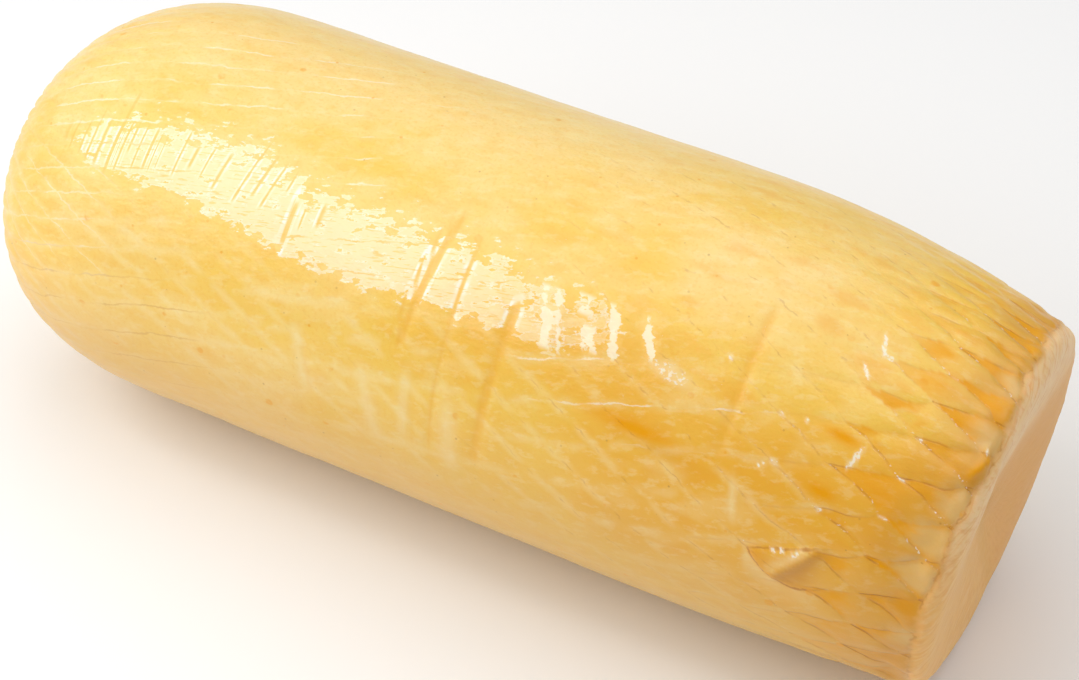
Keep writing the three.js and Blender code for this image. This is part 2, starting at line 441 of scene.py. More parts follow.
cheese_mesh.vertices.foreach_set("co", (finished * MM).astype(np.float32).ravel())

# Two maps, unbroken over the seam below: the net's two coordinates, and millimetres along with degrees
loop_vertex = np.zeros(len(cheese_mesh.loops), np.int32)
cheese_mesh.loops.foreach_get("vertex_index", loop_vertex)
loop_start = np.zeros(len(cheese_mesh.polygons), np.int32)
cheese_mesh.polygons.foreach_get("loop_start", loop_start)
loop_total = np.zeros(len(cheese_mesh.polygons), np.int32)
cheese_mesh.polygons.foreach_get("loop_total", loop_total)
face_of_loop = np.repeat(np.arange(len(loop_total)), loop_total)
loop_spun = spun[loop_vertex]
face_high = np.maximum.reduceat(loop_spun, loop_start)[face_of_loop]
over_seam = face_high - loop_spun > math.pi
net_map = cheese_mesh.uv_layers.new(name="net")
net_uv = np.stack([rising[loop_vertex], falling[loop_vertex]], axis=1) + (over_seam * STRINGS)[:, None]
net_map.data.foreach_set("uv", net_uv.astype(np.float32).ravel())
skin_map = cheese_mesh.uv_layers.new(name="skin")
skin_uv = np.stack([along[loop_vertex], degrees[loop_vertex] + over_seam * 360], axis=1)
skin_map.data.foreach_set("uv", skin_uv.astype(np.float32).ravel())


def patches(along_mm, around_mm, seed, slant=-14.0, octaves=3):
    """Soft patches of one size, laid along the rising strings, from about -1 to 1."""
    turned = angle - along * math.tan(math.radians(slant)) / RADIUS
    places = np.stack([
        along / along_mm + seed * 7.7,
        skin_radius * np.cos(turned) / around_mm + seed * 3.1,
        skin_radius * np.sin(turned) / around_mm,
    ], axis=1)
    return np.array([noise.fractal(Vector(p), 1.0, 2.0, octaves) for p in places])


LOT_RISING, LOT_FALLING, LOT_SPREAD = 12.99, 78.23, 4375.85


def lot(rising_count, falling_count, seed):
    """A number from 0 to 1 for one diamond or one knot of the net, the same each time."""
    mixed = rising_count % STRINGS * LOT_RISING + falling_count % STRINGS * LOT_FALLING + seed
    return np.abs(np.sin(mixed) * LOT_SPREAD) % 1


def off_patch(place, at, length, height, tilt=0.0):
    """Distance from the middle of a patch, 1 at its half length along the skin or half height in degrees."""
    return np.hypot((along - place) / length, (degrees - at - tilt * (along - place)) / height)


cell_rising, cell_falling = np.floor(rising), np.floor(falling)

# Smoke: thin on the dome and the top, thick on the front towards the mouth and in the heart of each diamond,
# with paler patches and a pale web along the strings, and painted shade on the underside
front_from = 18 * smooth(along, 235, 270)
from_pole = smooth(along, 0, 50)
front = from_pole * smooth(degrees, front_from, front_from + 50) * (1 - smooth(degrees, 80, 125))
smoke = smooth(along, 130, 335) * (0.30 + 0.62 * front) + 0.32 * front + 0.22 * patches(34, 20, 1, octaves=4)
smoke += 0.35 * smooth(along, 298, 325) + 0.22 * np.exp(-off_patch(140, 17, 40, 8) ** 2)
heart = (0.16 + 0.24 * smooth(along, 200, 290)) * smooth(nearest * string_gap_mm, 0.8, 3.4)
heart *= smooth(lot(cell_rising, cell_falling, 0), 0.0, 0.9) * smooth(patches(9, 5, 2), -0.4, 0.3)
pale = smooth(patches(15, 7, 3), 0.05, 0.6) * (1 - smooth(along, 280, 330))
web_zone = (0.06 + 0.22 * held(50, 112, 10)) * (1 - smooth(along, 290, 318))
under = 0.6 * from_pole * np.maximum(smooth(degrees, 70, 108), 1 - smooth(degrees, -175, -115))

# Patches where the smoke settled deepest: distance along the skin, angle, half length in millimetres and half
# height in degrees
deep_patches = [
    (253.0, 59.2, 10.0, 2.0),
    (302.5, 56.5, 4.0, 1.8),
    (303.0, 41.5, 5.0, 1.5),
    (331.0, 78.5, 4.0, 4.0),
    (334.5, 20.5, 2.5, 3.0),
    (335.5, 38.5, 2.5, 2.5),
]
DEEP_TILT = 0.05
DEEPEST = 0.95
deep = np.zeros(count)
for place, at, length, height in deep_patches:
    deep = np.maximum(deep, 1.1 * np.exp(-off_patch(place, at, length, height, DEEP_TILT) ** 2))
deep = np.minimum(deep, DEEPEST)

# Toffee brown on the last scales, and a small patch of painted shade just below the deepest patch
browned_from = 316 - 14 * held(42, 130, 14)
browned = 0.65 * smooth(along, browned_from, 334) + 0.25 * np.exp(-off_patch(258, 62.5, 9, 1.6) ** 2)
browned *= 1 - 0.5 * smooth(along_cell, 0.4, 0.9) * (1 - smooth(along, 322, 332))

# Scales: amber at the tucked left corner, partly smoke and partly painted shade, and painted glints where two
# strings cross
corner_reach = 0.24 + 0.42 * lot(cell_rising, cell_falling, 1)
corner_run = along_cell + 0.16 * patches(5, 3, 4)
corner = 1 - smooth(corner_run, 0.4 * corner_reach, 1.2 * corner_reach)
corner *= 0.5 + 0.5 * lot(cell_rising, cell_falling, 2)
at_top = held(-30, 25, 10) * smooth(along, 306, 320)
corner *= 0.4 + 0.6 * np.maximum(held(20, 92, 12), at_top)
corner *= smooth(along, 286, 318) * (1 - smooth(past_rim, -1, 1))
corner = np.maximum(corner, 0.9 * squeezed_out)
tongue_warm = in_tongue * np.maximum(1 - smooth(tongue_x, 2, 10), np.exp(-((above_foot - 0.6) / 1.2) ** 2))
corner = np.maximum(corner, 0.55 * tongue_warm)
knot_rising, knot_falling = np.rint(rising), np.rint(falling)
past_knot = (rising - knot_rising - falling + knot_falling) * half_cell
beside_knot = (rising - knot_rising + falling - knot_falling) / 2 * string_gap_mm
off_knot = np.hypot((past_knot - 1.0) / 1.2, beside_knot / 0.8)
painted_gleam = 1.2 * (1 - smooth(off_knot, 0.4, 1.4)) * smooth(lot(knot_rising, knot_falling, 0), 0.3, 0.4)
painted_gleam *= held(14, 78, 6) * smooth(along, 262, 300) * (1 - smooth(along, 323, 330))

# Painted gleams, glints in a soft painted sheen: distance along the skin, angle, half length in millimetres,
# half height in degrees, and degrees of slope for each millimetre along; and one wide patch of painted
# sparkle
gleams = [
    (307.6, 45.2, 1.5, 2.2, -2.2),
    (303.2, 15.4, 1.2, 2.0, 2.6),
    (302.0, 24.0, 1.6, 1.0, 1.1),
    (296.5, 75.7, 3.2, 0.45, -0.41),
    (301.0, 75.0, 1.4, 0.7, -1.2),
    (270.4, 34.5, 0.8, 0.9, 1.0),
    (286.2, 56.3, 1.0, 0.6, -1.0),
    (293.5, 41.5, 0.7, 0.7, 0.0),
    (335.7, 28.4, 0.7, 0.9, 0.5),
]
for place, at, length, height, tilt in gleams:
    painted_gleam = np.maximum(painted_gleam, 1.4 * (1 - smooth(off_patch(place, at, length, height, tilt), 0.4, 1.4)))
sparkling = off_patch(258, 43.5, 9.0, 3.5, 0.15)
painted_gleam = np.maximum(painted_gleam, 0.82 * (1 - smooth(sparkling, 0.2, 1.2)))

# Pale ends of the last scales: from and to in degrees, and where each starts
flaps = [
    (4, 11, 330.0),
    (21, 29, 329.5),
    (39, 50, 329.5),
    (52, 61, 324.0),
    (63, 73, 324.0),
    (86, 92, 327.5),
]
ragged = patches(5, 3, 8)
flap = np.zeros(count)
for start, end, place in flaps:
    flap = np.maximum(flap, held(start, end, 2.2) * smooth(along + 3.0 * ragged, place - 3.0, place + 5.0))
flap *= 1 - smooth(past_rim, -1.0, 0.3)

# The film of oil, smoother than the bare skin and with a highlight painted on it in pale beige: soft along
# its upper edge, torn along the lower one, in shreds towards the mouth. Its edges are drawn by distance along
# the skin and degrees.
film_upper_edge = [(71, 48), (79, 33), (100, 28), (128, 26), (146, 31), (190, 32), (236, 31), (252, 50)]
film_lower_edge = [
    (71, 36), (79, 43), (88, 44.5), (117, 44.5), (130, 47.5), (150, 49),
    (172, 50.5), (186, 48), (205, 48), (226, 50), (236, 46), (252, 30),
]
FILM_UPPER_FADE = 7
FILM_LOWER_FADE = 3
film_top = np.interp(along, *np.array(film_upper_edge).T)
film_foot = np.interp(along, *np.array(film_lower_edge).T)
film = np.minimum((degrees - film_top) / FILM_UPPER_FADE, (film_foot - degrees) / FILM_LOWER_FADE)
film = np.clip(film, -2, 0.95)
film -= 0.5 * smooth(along, 206, 216)

# Thin lines rubbed across the film: distance along the skin, from and to in degrees, and half width in
# millimetres
rubbed = [
    (71.0, 35, 40, 0.5),
    (73.2, 34, 42, 0.4),
    (77.2, 33, 42, 0.4),
    (80.0, 29, 44, 0.4),
    (83.2, 31, 44, 0.6),
    (87.5, 22, 45, 0.5),
    (88.9, 31, 43, 0.15),
    (89.9, 30, 44, 0.3),
    (92.0, 31, 38, 0.35),
    (94.8, 30, 42, 0.3),
    (98.2, 30, 41, 0.35),
    (99.8, 31, 41, 0.2),
    (101.4, 31, 40, 0.35),
    (107.2, 28, 40, 0.35),
    (111.0, 31, 37, 0.5),
    (115.3, 30, 38, 0.3),
    (120.3, 30, 40, 0.5),
    (128.0, 24, 41, 0.4),
    (132.2, 27, 38, 0.5),
    (136.0, 28, 40, 0.4),
    (140.5, 29, 34, 0.4),
    (145.0, 36, 47, 0.8),
    (148.0, 37, 42, 0.35),
    (152.3, 34, 40, 0.3),
]
places, tops, feet, widths = np.array(rubbed).T
RUBBED_LEAN = 0.2
RUBBED_MIDDLE = 36
leaning = RUBBED_LEAN * smooth(along, 100, 128) * (1 - smooth(along, 138, 146))
leaned = along + leaning * (degrees - RUBBED_MIDDLE)
rubbed_at = np.interp(leaned, places, np.arange(len(places)))
nearest_line = np.rint(rubbed_at).astype(int)
pitch = np.diff(places)[np.minimum(rubbed_at.astype(int), len(places) - 2)]
rubbed_held = smooth(degrees, tops[nearest_line] - 2, tops[nearest_line] + 1.5)
rubbed_held *= 1 - smooth(degrees, feet[nearest_line] - 1.5, feet[nearest_line] + 1.5)
rubbed_held *= smooth(leaned, places[0] - 1.5, places[0] - 0.5)
rubbed_held *= 1 - smooth(leaned, places[-1] + 0.5, places[-1] + 1.5)

# The pale skin below the tongue, the painted shadow behind its ridge and in its left corner, where the
# creases show, where each family of strings left whole lines, and the scratches
below_tongue = 0.35 * tongue_held * (1 - smooth(above_foot, -1.0, -0.2)) * smooth(above_foot, -7, -2)
tongue_shade = np.maximum(0.8 * ridge_shade, 0.3 * in_tongue * (1 - smooth(tongue_x, 2, 9)))
creased = 0.3 * smooth(along, 262, 280) * held(35, 125, 15) + 0.7 * smooth(along, 288, 322)
creased *= (0.5 + 0.5 * np.maximum(held(32, 125, 14), at_top)) * (1 - smooth(past_rim, -1.0, 0.6))
rising_kept = np.maximum(smooth(patches(9, 9, 5), -0.35, 0.3), 0.8 * smooth(film, -0.5, 0.5))
falling_kept = smooth(patches(9, 9, 6), -0.3, 0.3)
scratched = (0.2 + 0.8 * smooth(along, 200, 250)) * (1 - smooth(along, 300, 318))
scratched *= smooth(patches(2.6, 2.6, 10), 0.1, 0.35)

# The face: fibres show on the front and along the top; painted shade lies in tan beyond the valley and along
# the valley, and the face is painted lighter, in rose, towards the top
face_y, face_z = plain[:, 1], plain[:, 2]
fibres_show = np.maximum(1 - smooth(face_y, -22, 12), smooth(face_z, 18, 36))
fibres_show = 0.15 + (0.85 - 0.35 * low_front) * fibres_show
face_side = 0.55 * smooth(valley_at, -8, 12) * (1 - smooth(face_z, 10, 30))

# Every share that the material reads at a point of the skin
FULL_DENT = 0.3
shares = {
    "string_gap": string_gap_mm,
    "dent": dent_depth / FULL_DENT,
    "smear": np.maximum(0.42 * smear, np.maximum(0.6 * ridge_highlight, below_tongue)),
    "smoke": smoke,
    "heart": heart,
    "deep": deep,
    "pale": pale,
    "web": web_zone,
    "under": under,
    "browned": browned,
    "corner": corner,
    "flap": 0.85 * flap,
    "painted_gleam": painted_gleam,
    "stroke_off": stroke_off,
    "stroke_held": stroke_held,
    "gathered": creased,
    "past_rim": past_rim,
    "fold_shade": tongue_shade,
    "below_top": np.clip(below_top, -6, 6),
    "above_foot": np.clip(above_foot, -6, 6),
    "tongue": tongue_held,
    "film": film,
    "rubbed_at": rubbed_at,
    "rubbed_scale": pitch / widths[nearest_line],
    "rubbed_held": rubbed_held,
    "rising_whole": rising_kept * (1 - in_tongue),
    "falling_whole": falling_kept * (1 - in_tongue),
    "scratch": scratched,
    "mottle": patches(4.5, 3.0, 9),
    "fibred": fibres_show,
    "face_low": 1 - smooth(face_z, 6, 40),
    "face_side": face_side,
    "valley": np.exp(-(valley_at / VALLEY_TINT_WIDTH) ** 2),
    "dash": patches(13, 30, 7),
}
for name, values in shares.items():
    layer = cheese_mesh.attributes.new(name, "FLOAT", "POINT")
    layer.data.foreach_set("value", values.astype(np.float32))
fibre_layer = cheese_mesh.attributes.new("fibre", "FLOAT_VECTOR", "POINT")
fibre_place = np.stack([fibre_across, fibre_along, np.zeros(count)], axis=1)
fibre_layer.data.foreach_set("vector", fibre_place.astype(np.float32).ravel())
cheese_mesh.shade_smooth()

cheese = bpy.data.objects.new("scamorza_log_skin", cheese_mesh)
bpy.context.scene.collection.objects.link(cheese)

# Smoked skin: straw yellow where the smoke was thin, amber where it settled, under a thin film of oil;
# painted highlights, glints and shade are laid into its colour too
smoked_skin = bpy.data.materials.new("smoked_skin")
smoked_skin.use_nodes = True
nodes = smoked_skin.node_tree.nodes
links = smoked_skin.node_tree.links
nodes.clear()


def paint(red, green, blue):
    """A colour as it is read off a swatch, made linear for the shader."""
    levels = [c / 255 for c in (red, green, blue)]
    return [s / 12.92 if s <= 0.04045 else ((s + 0.055) / 1.055) ** 2.4 for s in levels] + [1]


def feed(socket, value):
    """Joins a node's output to a socket, or sets the socket to a plain value."""
    if isinstance(value, bpy.types.NodeSocket):
        links.new(value, socket)
    else:
        socket.default_value = value


def sum_of(operation, *values):
    """One step of arithmetic."""
    node = nodes.new("ShaderNodeMath")
    node.operation = operation
    for socket, value in zip(node.inputs, values):
        feed(socket, value)
    return node.outputs[0]


def times(*values):
    """The product of any number of values."""
    product = values[0]
    for value in values[1:]:
        product = sum_of("MULTIPLY", product, value)
    return product


def ramp(value, low, high, from_value=0.0, to_value=1.0):
    """An eased change from one value to another as the first one goes from low to high."""
    node = nodes.new("ShaderNodeMapRange")
    node.interpolation_type = "SMOOTHSTEP"
    for socket, given in zip(node.inputs, (value, low, high, from_value, to_value)):
        feed(socket, given)
    return node.outputs[0]


def band(value, low, high, fade):
    """1 between low and high, fading out beyond them."""
    return times(ramp(value, low - fade, low + fade), ramp(value, high + fade, high - fade))


def zone(along_band, degrees_band):
    """1 on one stretch of the skin, given as from, to and fade both along it and around it."""
    return times(band(along_at, *along_band), band(degrees_at, *degrees_band))


def tint(share, under, over):
    """One colour laid over another, as strongly as the share says."""
    node = nodes.new("ShaderNodeMix")
    node.data_type = "RGBA"
    feed(node.inputs[0], share)
    feed(node.inputs[6], under)
    feed(node.inputs[7], over)
    return node.outputs[2]


def laid(along_mm, around_mm, seed, slant=0.0):
    """Skin coordinates measured in grains of one size, turned to follow the strings."""
    node = nodes.new("ShaderNodeMapping")
    node.vector_type = "TEXTURE"
    node.inputs["Location"].default_value = (seed * 37.0, seed * 91.0, 0)
    node.inputs["Rotation"].default_value = (0, 0, math.radians(slant))
    node.inputs["Scale"].default_value = (along_mm, around_mm, 1)
    links.new(skin_mm, node.inputs["Vector"])
    return node.outputs[0]


def grain(along_mm, around_mm, seed, detail=3.0, slant=0.0, roughness=0.5):
    """Fine unevenness with grains of one size, from about 0 to 1."""
    node = nodes.new("ShaderNodeTexNoise")
    node.noise_dimensions = "2D"
    node.inputs["Scale"].default_value = 1.0
    node.inputs["Detail"].default_value = detail
    node.inputs["Roughness"].default_value = roughness
    links.new(laid(along_mm, around_mm, seed, slant), node.inputs["Vector"])
    return node.outputs[0]


def spots(size_mm, seed, low, high):
    """Scattered spots, one or none to each patch of skin: 1 in a spot, 0 between."""
    node = nodes.new("ShaderNodeTexVoronoi")
    node.voronoi_dimensions = "2D"
    node.inputs["Scale"].default_value = 1.0
    links.new(laid(size_mm, size_mm, seed), node.inputs["Vector"])
    drawn = nodes.new("ShaderNodeSeparateColor")
    links.new(node.outputs["Color"], drawn.inputs[0])
    reach = ramp(drawn.outputs[0], 0.45, 1.0, low, high)
    inside = ramp(sum_of("DIVIDE", node.outputs["Distance"], reach), 1.0, 0.55)
    return times(inside, ramp(drawn.outputs[1], 0.5, 0.6))


def share_of(name):
    """A share kept at each point of the skin."""
    node = nodes.new("ShaderNodeAttribute")
    node.attribute_name = name
    return node.outputs["Fac"]


def map_of(name):
    """The two coordinates of one of the skin's maps."""
    node = nodes.new("ShaderNodeUVMap")
    node.uv_map = name
    parts = nodes.new("ShaderNodeSeparateXYZ")
    links.new(node.outputs[0], parts.inputs[0])
    return parts.outputs[0], parts.outputs[1]


def from_line(string_at, astray):
    """Millimetres from the nearest string of one family, along a line led astray a little."""
    beside = sum_of("SUBTRACT", sum_of("FRACT", sum_of("ADD", string_at, 0.5)), 0.5)
    return sum_of("ABSOLUTE", sum_of("MULTIPLY_ADD", beside, gap_width, astray))


rising_at, falling_at = map_of("net")
along_at, degrees_at = map_of("skin")
skin_vector = nodes.new("ShaderNodeCombineXYZ")
links.new(along_at, skin_vector.inputs[0])
links.new(times(degrees_at, RADIUS * math.pi / 180), skin_vector.inputs[1])
skin_mm = skin_vector.outputs[0]
gap_width = share_of("string_gap")
STRING_SLANT = -14
WANDER = 2.2
tear = grain(5, 2.4, 20, 4, STRING_SLANT, 0.62)
torn = sum_of("SUBTRACT", tear, 0.5)
wander = times(torn, WANDER)
rising_mm = from_line(rising_at, wander)
falling_mm = from_line(falling_at, wander)
rising_fold = from_line(rising_at, 0.0)
falling_fold = from_line(falling_at, 0.0)
crossing_mm = sum_of("MINIMUM", rising_mm, falling_mm)
rising_part = sum_of("FRACT", rising_at)
falling_part = sum_of("FRACT", falling_at)
cell_run = times(sum_of("ADD", sum_of("SUBTRACT", rising_part, falling_part), 1.0), 0.5)

STRAW = paint(252, 217, 138)
HONEY = paint(248, 203, 84)
AMBER = paint(242, 180, 46)
ORANGE = paint(240, 164, 0)
TOFFEE = paint(212, 146, 44)
CREAM = paint(253, 233, 176)
GREYED = paint(226, 184, 112)
RUST = paint(188, 112, 30)
UNDER = paint(226, 174, 82)
BEIGE = paint(255, 232, 184)
TAN = paint(238, 172, 96)
BISCUIT = paint(252, 196, 120)
ROSE = paint(255, 214, 160)
SPECK = paint(168, 104, 36)
GLINT = paint(255, 250, 236)
PEARL = paint(255, 240, 206)

# Smoke, with the pale web that the strings kept clear of it, and deepest in a few patches
pore = grain(1.1, 0.9, 17, 2)
smoke_share = share_of("smoke")
rising_whole = share_of("rising_whole")
falling_whole = share_of("falling_whole")
mottle = share_of("mottle")
colour = tint(ramp(smoke_share, -0.05, 0.5), STRAW, HONEY)
colour = tint(ramp(smoke_share, 0.4, 1.1), colour, AMBER)
colour = tint(share_of("heart"), colour, ORANGE)
colour = tint(times(share_of("pale"), 0.2), colour, CREAM)
colour = tint(ramp(mottle, 0.0, 0.6, 0.0, 0.16), colour, AMBER)
colour = tint(ramp(pore, 0.5, 0.75, 0.0, 0.22), colour, AMBER)
colour = tint(ramp(tear, 0.5, 0.7, 0.0, 0.22), colour, CREAM)
web = sum_of(
    "MAXIMUM",
    times(ramp(rising_mm, 2.6, 0.0), rising_whole),
    times(ramp(falling_mm, 2.4, 0.0), falling_whole),
)
colour = tint(times(web, share_of("web")), colour, CREAM)
# Pale smears and the pale skin below the tongue, with a painted highlight along the tongue's ridge
colour = tint(share_of("smear"), colour, CREAM)
# Painted shade on the underside
colour = tint(share_of("under"), colour, UNDER)
colour = tint(share_of("deep"), colour, ORANGE)

# Scales: amber corners, partly smoke and partly painted shade in the tuck; pale ends; painted shadow on the
# tongue and painted shade along its edges; and creases, both smoky and painted with shade, with an orange
# band beside them, darkest at the left corner of each scale and dying out to the right
colour = tint(share_of("browned"), colour, TOFFEE)
colour = tint(share_of("corner"), colour, ORANGE)
colour = tint(share_of("flap"), colour, GREYED)
colour = tint(share_of("fold_shade"), colour, TOFFEE)
tongue = share_of("tongue")
top_off = sum_of("MULTIPLY_ADD", wander, 0.35, share_of("below_top"))
foot_off = sum_of("MULTIPLY_ADD", wander, 0.5, share_of("above_foot"))
top_edge = times(ramp(sum_of("ABSOLUTE", top_off), 0.4, 0.1), ramp(share_of("above_foot"), -0.5, 0.5))
foot_edge = times(ramp(sum_of("ABSOLUTE", foot_off), 0.5, 0.1), ramp(share_of("below_top"), -0.5, 0.5))
colour = tint(times(top_edge, tongue, ramp(mottle, -0.4, 0.4, 0.25, 0.7)), colour, RUST)
colour = tint(times(foot_edge, tongue, 0.7), colour, RUST)
gathered = share_of("gathered")
rising_crease = times(ramp(rising_fold, 0.5, 0.06), ramp(falling_part, 0.0, 0.8), rising_whole)
falling_crease = times(ramp(falling_fold, 0.55, 0.06), ramp(rising_part, 1.0, 0.2), falling_whole)
crease = times(sum_of("MAXIMUM", rising_crease, falling_crease), gathered)
fold_mm = sum_of("MINIMUM", rising_fold, falling_fold)
beside_crease = times(ramp(fold_mm, 1.6, 0.1, 0.0, 0.3), gathered, ramp(cell_run, 0.9, 0.3))
colour = tint(beside_crease, colour, ORANGE)
colour = tint(times(crease, ramp(mottle, -0.5, 0.5, 0.4, 0.75)), colour, RUST)

# Threads: broken pale lines along the rising strings, painted highlights on their ridges; thin darker ones
# low on the dome; and faint pale lines where both families show, painted highlights too
dash = share_of("dash")
thread_zone = sum_of("MAXIMUM", zone((58, 168, 10), (-12, 36, 6)), zone((214, 286, 6), (43, 62, 4)))
thread_glint = times(ramp(rising_mm, 0.42, 0.06), thread_zone, ramp(dash, 0.0, 0.3, 0.1, 1.0))
colour = tint(times(thread_glint, 0.45), colour, GLINT)
scored = times(ramp(rising_mm, 0.42, 0.08), zone((60, 124, 10), (70, 106, 5)))
colour = tint(times(scored, ramp(dash, -0.4, 0.1, 0.1, 0.65)), colour, UNDER)
crossed_glint = times(ramp(crossing_mm, 0.40, 0.08), zone((58, 92, 8), (44, 78, 5)))
colour = tint(times(crossed_glint, ramp(dash, -0.2, 0.3, 0.05, 0.28)), colour, GLINT)

# Painted shade in the dents, specks of smoke scattered over the skin, and fine scratches that follow the
# falling strings
dent_share = share_of("dent")
colour = tint(times(ramp(dent_share, 0.1, 1.0), 0.6), colour, AMBER)
ash = times(spots(6, 2, 0.02, 0.07), ramp(dash, -0.1, 0.3))
colour = tint(times(ash, 0.35), colour, SPECK)
scratch = times(ramp(falling_mm, 0.36, 0.1), share_of("scratch"))
colour = tint(times(scratch, 0.3), colour, RUST)
smoke_spots = times(spots(10, 1, 0.05, 0.16), ramp(mottle, -0.2, 0.5))
colour = tint(times(smoke_spots, 0.6), colour, ORANGE)

# The face: painted lighter in rose at the top and biscuit below, painted shade in tan beyond its valley and
# along it, fine fibres across it, and a broken line of painted shade in the crease at the rim
FIBRE_SIZE = (1.3, 13, 1)
fibre_node = nodes.new("ShaderNodeAttribute")
fibre_node.attribute_name = "fibre"
fibre_laid = nodes.new("ShaderNodeMapping")
fibre_laid.vector_type = "TEXTURE"
fibre_laid.inputs["Scale"].default_value = FIBRE_SIZE
links.new(fibre_node.outputs["Vector"], fibre_laid.inputs["Vector"])
fibre_grain = nodes.new("ShaderNodeTexNoise")
fibre_grain.noise_dimensions = "2D"
fibre_grain.inputs["Scale"].default_value = 1.0
fibre_grain.inputs["Detail"].default_value = 1.0
links.new(fibre_laid.outputs[0], fibre_grain.inputs["Vector"])
fibre_share = fibre_grain.outputs[0]
face_colour = tint(share_of("face_low"), ROSE, BISCUIT)
face_colour = tint(share_of("face_side"), face_colour, TAN)
fibred = times(share_of("fibred"), ramp(mottle, -0.4, 0.4, 0.25, 0.6))
face_colour = tint(times(ramp(fibre_share, 0.5, 0.72), fibred), face_colour, ROSE)
face_colour = tint(times(ramp(fibre_share, 0.5, 0.28), fibred), face_colour, TAN)
face_colour = tint(ramp(tear, 0.45, 0.7, 0.0, 0.4), face_colour, TAN)
face_colour = tint(times(share_of("valley"), 0.2), face_colour, UNDER)
rim_off = sum_of("MULTIPLY_ADD", wander, 1.6, share_of("past_rim"))
on_face = ramp(rim_off, -1.8, 2.6)
colour = tint(on_face, colour, face_colour)
rim_line = times(ramp(sum_of("ABSOLUTE", rim_off), 0.7, 0.1), ramp(mottle, -0.1, 0.4))
colour = tint(times(rim_line, 0.35), colour, RUST)

# The film of oil with a highlight painted on it, torn by the lines rubbed across it and parted over the
# dents, with painted white highlights along the tears, the rubbed lines and the dents
FILM_TORN = 5.0
film_share = share_of("film")
film_torn = sum_of("MULTIPLY_ADD", torn, FILM_TORN, film_share)
film_and_highlight = ramp(film_torn, 0.0, 0.25)
rubbed_share = share_of("rubbed_held")
rubbed_off = times(sum_of("PINGPONG", share_of("rubbed_at"), 0.5), share_of("rubbed_scale"))
rubbed_line = times(ramp(rubbed_off, 1.2, 0.3), rubbed_share)
string_line = times(ramp(rising_mm, 0.42, 0.08), rising_whole, ramp(dash, -0.3, 0.2, 0.35, 1.0))
scuff = grain(5, 0.55, 23, 2, -12)
film_and_highlight = times(
    film_and_highlight,
    ramp(sum_of("MULTIPLY_ADD", mottle, 0.09, scuff), 0.60, 0.68, 1.0, 0.3),
    ramp(rubbed_line, 0.1, 0.9, 1.0, 0.05),
    ramp(dent_share, 0.35, 0.6, 1.0, 0.1),
    ramp(string_line, 0.2, 0.9, 1.0, 0.15),
)
# Painted shade: the rubbed lines, and the string lines over the film, are darkened with amber
film_scored = times(string_line, ramp(film_share, 0.2, 0.8), 0.4)
colour = tint(sum_of("MAXIMUM", times(rubbed_line, 0.4), film_scored), colour, AMBER)
# The highlight painted on the film in pale beige, weaker towards both ends
highlight_strength = times(ramp(along_at, 84, 125, 0.55, 0.7), ramp(along_at, 190, 236, 1.0, 0.35))
colour = tint(times(film_and_highlight, highlight_strength), colour, BEIGE)
# Painted highlights: white fringes at the film's tears, beside the rubbed lines and at the dents' edges
torn_fringe = times(ramp(film_torn, 0.05, 0.25), ramp(film_torn, 0.7, 0.3), 0.6)
rubbed_fringe = times(ramp(rubbed_off, 1.0, 1.5), ramp(rubbed_off, 2.8, 1.8), rubbed_share)
dent_fringe = times(ramp(dent_share, 0.06, 0.2), ramp(dent_share, 0.55, 0.3))
fringe = sum_of("MAXIMUM", torn_fringe, sum_of("MAXIMUM", rubbed_fringe, dent_fringe))
colour = tint(times(fringe, film_and_highlight, ramp(mottle, -0.4, 0.4, 0.25, 0.85)), colour, GLINT)

# Painted highlights elsewhere: glints along the creases, strokes on the steps, and gleams with glints in a
# soft painted sheen
STROKE_TORN = 4.5
bead_glint = times(ramp(falling_fold, 0.6, 0.2), ramp(pore, 0.60, 0.66), gathered, falling_whole)
colour = tint(times(bead_glint, ramp(degrees_at, 78, 58), 0.65), colour, GLINT)
# Painted highlight: pearly strokes with torn edges along the steps
stroke = ramp(sum_of("MULTIPLY_ADD", torn, STROKE_TORN, share_of("stroke_off")), 1.3, 0.9)
colour = tint(times(stroke, ramp(share_of("stroke_held"), 0.2, 0.6), 0.8), colour, PEARL)
# A soft painted sheen with painted glints in it, at the knots, the gleams and the sparkling patch
painted_gleam_share = share_of("painted_gleam")
colour = tint(ramp(painted_gleam_share, 0.0, 1.4, 0.0, 0.5), colour, PEARL)
glint = ramp(sum_of("MULTIPLY_ADD", painted_gleam_share, 0.36, pore), 0.78, 0.94)
colour = tint(times(glint, 0.6), colour, GLINT)

# Fine relief: pores, ripples and creases, with depths in millimetres
PORE_DEPTH = 0.05
RIPPLE_DEPTH = 0.12
CREASE_DEPTH = 0.14
ripple = times(sum_of("SUBTRACT", grain(5.5, 3.2, 18, 2, STRING_SLANT), 0.5), RIPPLE_DEPTH)
relief = sum_of("MULTIPLY_ADD", pore, PORE_DEPTH, ripple)
relief = sum_of("SUBTRACT", relief, times(crease, CREASE_DEPTH))
bump = nodes.new("ShaderNodeBump")
bump.inputs["Strength"].default_value = 1.0
bump.inputs["Distance"].default_value = MM
links.new(relief, bump.inputs["Height"])

